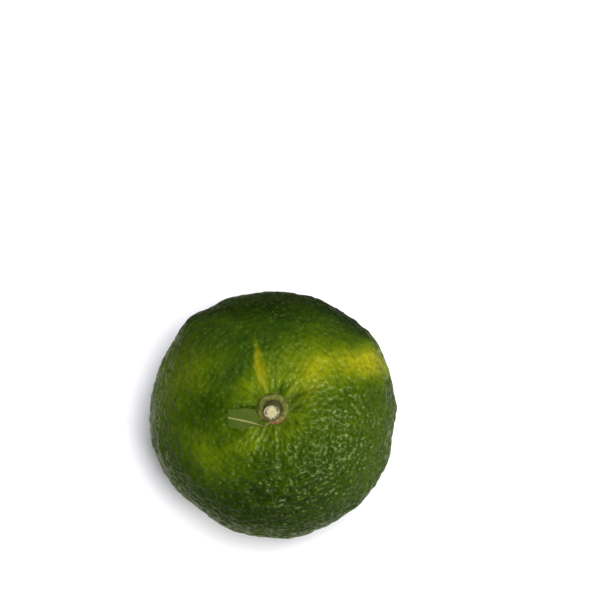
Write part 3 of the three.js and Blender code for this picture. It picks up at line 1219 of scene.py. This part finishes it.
@dataclass
class LeafStalk:
    """The winged stalk of a leaf: a thin blade with a raised rib, lying on the skin.

    The zones are shares of the rib's length: where a wing starts to widen or narrow, and where it is done.
    """

    fruit: Fruit
    rib_line: tuple[Place, ...] = (
        (-0.6 * MM, -3.35 * MM),
        (-1.1 * MM, -4.0 * MM),
        (-2.2 * MM, -4.45 * MM),
        (-3.7 * MM, -4.1 * MM),
        (-7.6 * MM, -3.05 * MM),
        (-11.5 * MM, -2.05 * MM),
    )
    rib_half_width: float = 0.12 * MM
    rib_rise: float = 0.18 * MM
    blade: float = 0.14 * MM
    inner_wing: float = 3.3 * MM
    outer_wing: float = 2.3 * MM
    off_skin: float = 0.24 * MM
    clear_of_calyx: float = 0.30 * MM
    calyx_radius: float = 4.15 * MM
    calyx_height: float = 1.3 * MM
    climb: float = 1.6 * MM
    inner_zone: Place = (0.2, 0.36)
    outer_zone: Place = (0.22, 0.75)
    narrow_zone: Place = (0.55, 1.0)
    narrowing: float = 0.35
    curl: float = 0.12 * MM
    vein_pitch: float = 0.55 * MM
    stations: int = 90
    columns: int = 56

    def room_beside_calyx(self, rib: Array, inwards: Array) -> Array:
        """How far the inner wing can reach before it meets the calyx.

        The reach is where a straight line from the rib crosses a circle round the calyx: less its
        slope towards the middle, less the root of that squared less how far the rib is outside.

        Args:
            rib: Places along the rib, from the stem end's middle.
            inwards: The unit vectors of the wing there.

        Returns:
            The reach at each place, and the wing's own width where the line misses the circle.
        """
        slope = np.sum(rib * inwards, axis=1)
        circle = self.calyx_radius + self.clear_of_calyx
        outside = np.sum(rib * rib, axis=1) - circle**2
        inside_root = np.square(slope) - outside
        reach = -slope - np.sqrt(np.maximum(inside_root, 0.0))
        return np.where((inside_root > 0.0) & (slope < 0.0), np.maximum(reach, 0.0), self.inner_wing)

    def build(self, finish: LeafSkin) -> bpy.types.Object:
        """Builds the stalk: a lens-shaped section carried along the rib's line.

        Round the section the sideways place is the wing's width times a cosine, and the height half the
        blade's thickness times a sine to a small power, so that both edges are thin. A bell curve across
        the middle raises the rib. The line lies on the skin, and climbs over the calyx's rim.

        Args:
            finish: The leaf's finish.

        Returns:
            The piece.
        """
        along = np.linspace(0.0, 1.0, self.stations)
        rib, heading = spline(self.rib_line, along)
        narrowing = 1.0 - self.narrowing * ease(along, *self.narrow_zone)
        across = np.stack([-heading[:, 1], heading[:, 0]], axis=-1)
        across = across * (1.0 - along[:, None]) + np.array([0.0, -1.0]) * along[:, None]
        across /= np.linalg.norm(across, axis=1, keepdims=True)
        room = self.room_beside_calyx(rib, -across)
        widened = self.inner_wing * ease(along, *self.inner_zone) * narrowing
        inner = self.rib_half_width + np.minimum(widened, room)
        outer = self.rib_half_width + self.outer_wing * ease(along, *self.outer_zone)
        turns = turns_round(self.columns)
        cosine = np.cos(turns)[None, :]
        sine = signed_power(np.sin(turns), 0.55)[None, :]
        side = np.where(cosine < 0.0, inner[:, None], outer[:, None]) * cosine
        half = self.blade / 2.0
        ribbed = self.rib_rise * bell(side / self.rib_half_width) * (sine > 0.0)
        place = rib[:, None, :] + across[:, None, :] * side[..., None]
        flat = np.stack([place[..., 0], place[..., 1], 0.0 * side], axis=-1)
        curl = self.curl * noise(flat, 3.0 * MM, Pattern.LEAF)
        lift = self.off_skin + half + half * sine + ribbed + curl
        points = self.fruit.above(place[..., 0], place[..., 1], lift)
        distance = np.hypot(rib[:, 0], rib[:, 1])[:, None]
        climb = 1.0 - ease(distance, self.calyx_radius + self.off_skin, self.calyx_radius + self.climb)
        rim = self.fruit.above(np.array(self.calyx_radius), np.array(0.0), 0.0)[2] + self.calyx_height
        points[..., 2] += climb * np.maximum(rim + lift - points[..., 2], 0.0)
        width = side / np.maximum(np.abs(side).max(axis=1, keepdims=True), 1e-6)
        uneven = noise(flat, 1.6 * MM, Pattern.LEAF + 1)
        slanted = np.sin((side / self.vein_pitch + along[:, None] * 12.0 + 0.7 * uneven) * math.pi)
        values = {
            "rib": bell(side / (0.75 * self.rib_half_width)) * (sine > 0.0),
            "vein": np.clip(slanted * np.abs(width), 0.0, 1.0),
        }
        first, last = points[0].mean(axis=0), points[-1].mean(axis=0)
        piece = closed_surface("winged_leaf_stalk", points, first, last, values)
        stand_in_for(piece, "leaf_stalk", finish.material())
        return piece


# The studio


@dataclass(frozen=True)
class Softbox:
    """A square soft light that faces the fruit. Angles are in degrees."""

    name: str
    azimuth: float
    elevation: float
    distance: float
    side: float
    power: float
    reflected: bool = True
    colour: Colour = (1.0, 1.0, 1.0)

    def build(self, target: Vector) -> None:
        """Hangs the light.

        Args:
            target: The point that it faces.
        """
        light = bpy.data.lights.new(self.name, "AREA")
        light.size = self.side
        light.energy = self.power
        light.color = self.colour
        lamp = put_in_scene(self.name, light)
        level = math.cos(math.radians(self.elevation))
        rise = math.sin(math.radians(self.elevation))
        azimuth = math.radians(self.azimuth)
        outwards = Vector((level * math.cos(azimuth), level * math.sin(azimuth), rise))
        lamp.location = target + outwards * self.distance
        lamp.rotation_euler = outwards.to_track_quat("Z", "Y").to_euler()
        lamp.visible_glossy = self.reflected


@dataclass
class Studio:
    """The floor, the lights, the surroundings and the camera.

    The surroundings change colour between pairs of shares of a direction's unit vector: of its X for the
    underside's brighter side, of its Y for the backdrop, and of its Z for the horizon and the zenith.
    """

    floor_side: float = 6.0
    camera_height: float = 0.700
    view_width: float = 0.162
    sensor: float = 36.0
    look_at: Place = (7.2 * MM, 30.9 * MM)
    horizon: Colour = (0.20, 0.20, 0.20)
    zenith: Colour = (0.02, 0.02, 0.02)
    underside: Colour = (0.54, 0.56, 0.43)
    bright_underside: Colour = (0.56, 0.59, 0.44)
    backdrop: Colour = (0.02, 0.02, 0.015)
    side_edge: Place = (-0.6, 0.1)
    backdrop_edge: Place = (0.0, 0.4)
    horizon_edge: Place = (-0.68, -0.42)
    zenith_edge: Place = (0.06, 0.35)
    softboxes: tuple[Softbox, ...] = (
        Softbox("key", 60.0, 78.5, 1.1, 0.4, 14.5, reflected=False),
        Softbox("window", -31.0, 45.0, 0.9, 0.40, 4.6, colour=(1.0, 1.0, 0.93)),
        Softbox("sill", -80.0, 34.0, 0.9, 0.2, 0.6, colour=(1.0, 1.0, 0.93)),
        Softbox("lamp", 60.0, 64.0, 1.0, 0.12, 0.8, colour=(1.0, 1.0, 0.93)),
    )

    def build_floor(self, finish: PaleFloor) -> None:
        """Lays the floor: one square sheet under the fruit."""
        half = self.floor_side / 2.0
        corners = [(-half, -half, 0.0), (half, -half, 0.0), (half, half, 0.0), (-half, half, 0.0)]
        mesh = bpy.data.meshes.new("floor")
        mesh.from_pydata(corners, [], [(0, 1, 2, 3)])
        mesh.materials.append(finish.material())
        floor = put_in_scene("floor", mesh)
        floor.visible_glossy = False
        floor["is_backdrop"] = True

    def build_surroundings(self) -> None:
        """Makes the surroundings: pale below, dull at the horizon, dark at the zenith and behind.

        The floor isn't reflected, so that the skin keeps its deep colour towards its outline. What it
        reflects from below is the underside of the surroundings instead.
        """
        world = bpy.data.worlds.new("studio")
        bpy.context.scene.world = world
        graph = Graph(world)
        direction = graph.add("ShaderNodeTexCoord", output="Generated")
        side, back, height = (
            graph.add("ShaderNodeSeparateXYZ", None, {"Vector": direction}, output=axis) for axis in "XYZ"
        )
        below = graph.mix(MixMode.BLEND, side.between(*self.side_edge), self.bright_underside, self.underside)
        colour = graph.mix(MixMode.BLEND, height.between(*self.horizon_edge), below, self.horizon)
        colour = graph.mix(MixMode.BLEND, height.between(*self.zenith_edge), colour, self.zenith)
        colour = graph.mix(MixMode.BLEND, back.between(*self.backdrop_edge) * 0.92, colour, self.backdrop)
        graph.close(graph.add("ShaderNodeBackground", None, {"Color": colour}), "ShaderNodeOutputWorld")

    def build_camera(self) -> None:
        """Hangs the camera straight above, looking down, as wide as the view at the widest level."""
        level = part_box("fruit")[1].z / 2.0
        camera = bpy.data.cameras.new("camera")
        camera.sensor_width = self.sensor
        camera.lens = self.sensor * (self.camera_height - level) / self.view_width
        stand = put_in_scene("camera", camera)
        stand.location = (*self.look_at, self.camera_height)
        bpy.context.scene.camera = stand

    def build(self) -> None:
        """Sets the studio up."""
        self.build_camera()
        self.build_floor(PaleFloor())
        self.build_surroundings()
        low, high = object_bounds()
        for softbox in self.softboxes:
            softbox.build((low + high) / 2.0)
        bpy.context.scene.view_settings.view_transform = "Standard"


def main() -> None:
    """Builds the pieces and the studio."""
    logging.basicConfig(level=logging.INFO, format="%(message)s")
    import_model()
    Studio().build()
    fruit = Fruit()
    fruit.build(Rind())
    Calyx(fruit).build(CalyxSkin())
    StemStub(fruit).build(CutStem())
    LeafStalk(fruit).build(LeafSkin())


if __name__ == "__main__":
    main()
